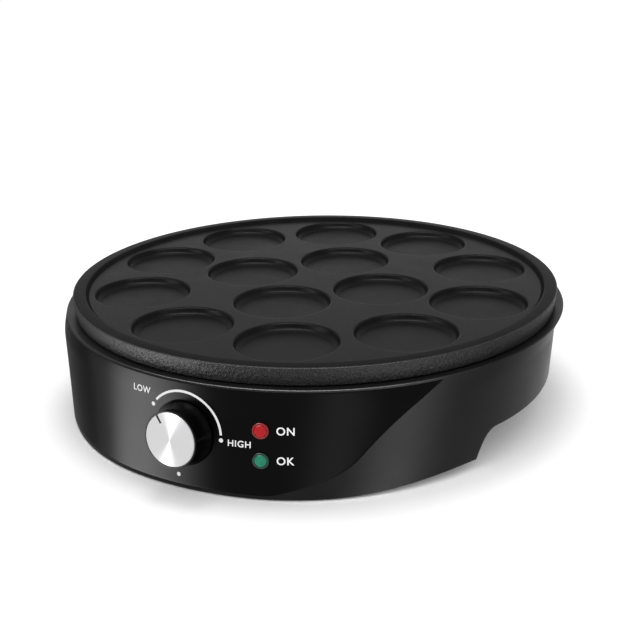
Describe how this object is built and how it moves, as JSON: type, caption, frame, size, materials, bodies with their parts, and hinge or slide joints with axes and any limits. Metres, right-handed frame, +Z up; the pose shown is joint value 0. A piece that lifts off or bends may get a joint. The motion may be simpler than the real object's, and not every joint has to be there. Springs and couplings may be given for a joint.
{
  "type": "mini pancake maker",
  "caption": "Round countertop maker for small pancakes: a cast plate of shallow wells on a low electric housing with a heat knob and pilot lamps.",
  "frame": {"origin": "middle of the bounding box's footprint, on the table under the feet", "axes": "+Z up through the plate; -Y is the front with the knob; +X to the right seen from the front"},
  "size_m": [0.3076, 0.3313, 0.0705],
  "materials": {
    "cast_plate": "black non-stick coat",
    "steel": "plated",
    "aluminium": "spun",
    "satin_plastic": "satin",
    "gloss_plastic": "gloss",
    "ceramic": "matt",
    "brass": "bright",
    "red_lens": "translucent gloss",
    "green_lens": "translucent gloss",
    "glass": "clear",
    "rubber": "matt",
    "insulation": "matt silicone"
  },
  "bodies": {
    "maker": {"cooking_plate": "cast_plate", "heating_element": "steel", "element_clamp": "steel", "cold_pin_1": "steel", "cold_pin_2": "steel", "clamp_screw_1": "steel", "clamp_screw_2": "steel", "clamp_screw_3": "steel", "long_screw_1": "steel", "long_screw_2": "steel", "long_screw_3": "steel", "long_screw_4": "steel", "cover_screw_1": "steel", "cover_screw_2": "steel", "cover_screw_3": "steel", "cover_screw_4": "steel", "thermostat_bracket": "steel", "bracket_screw_1": "steel", "bracket_screw_2": "steel", "bimetal_strip": "steel", "fuse_strap": "steel", "fuse_screw": "steel", "earth_screw": "steel", "heat_reflector": "aluminium", "housing_shell": "satin_plastic", "base_cover": "satin_plastic", "front_panel": "gloss_plastic", "pin_bush_1": "ceramic", "pin_bush_2": "ceramic", "ceramic_stack": "ceramic", "terminal_block": "ceramic", "thermal_fuse": "ceramic", "spindle_bush": "brass", "fixed_blade": "brass", "arm_tab": "brass", "blade_tab": "brass", "earth_tag": "brass", "power_lamp_lens": "red_lens", "power_lamp_bezel": "red_lens", "ready_lamp_lens": "green_lens", "ready_lamp_bezel": "green_lens", "power_lamp_bulb": "glass", "ready_lamp_bulb": "glass", "rubber_foot_1": "rubber", "rubber_foot_2": "rubber", "rubber_foot_3": "rubber", "rubber_foot_4": "rubber", "cord_gland": "rubber", "neutral_lead": "insulation", "element_lead": "insulation", "fuse_lead": "insulation", "live_lead": "insulation", "earth_lead": "insulation"},
    "knob": {"knob_body": "gloss_plastic", "knob_cap": "aluminium", "spindle": "steel"},
    "push_pin": {"push_pin": "ceramic"},
    "contact_arm": {"contact_arm": "brass"}
  },
  "joints": [
    {"name": "knob_turn", "type": "hinge", "parent": "maker", "child": "knob", "pos_m": [0, -0.15092, 0.0317], "axis": [0, 0.9944, -0.1054], "range_deg": [-140, 125]},
    {"name": "push_pin_slide", "type": "slide", "parent": "maker", "child": "push_pin", "axis": [0, 0.9944, -0.1054], "range_m": [-0.00107, 0.00096]},
    {"name": "contact_arm_flex", "type": "hinge", "parent": "maker", "child": "contact_arm", "pos_m": [-0.0117, -0.12653, 0.02911], "axis": [0, 0.1054, 0.9944], "range_deg": [-3.67, 3.28]}
  ],
  "couplings": [
    {"joint": "push_pin_slide", "follows": "knob_turn", "m_per_rad": 0.00043242},
    {"joint": "contact_arm_flex", "follows": "knob_turn", "ratio": 0.025893}
  ]
}
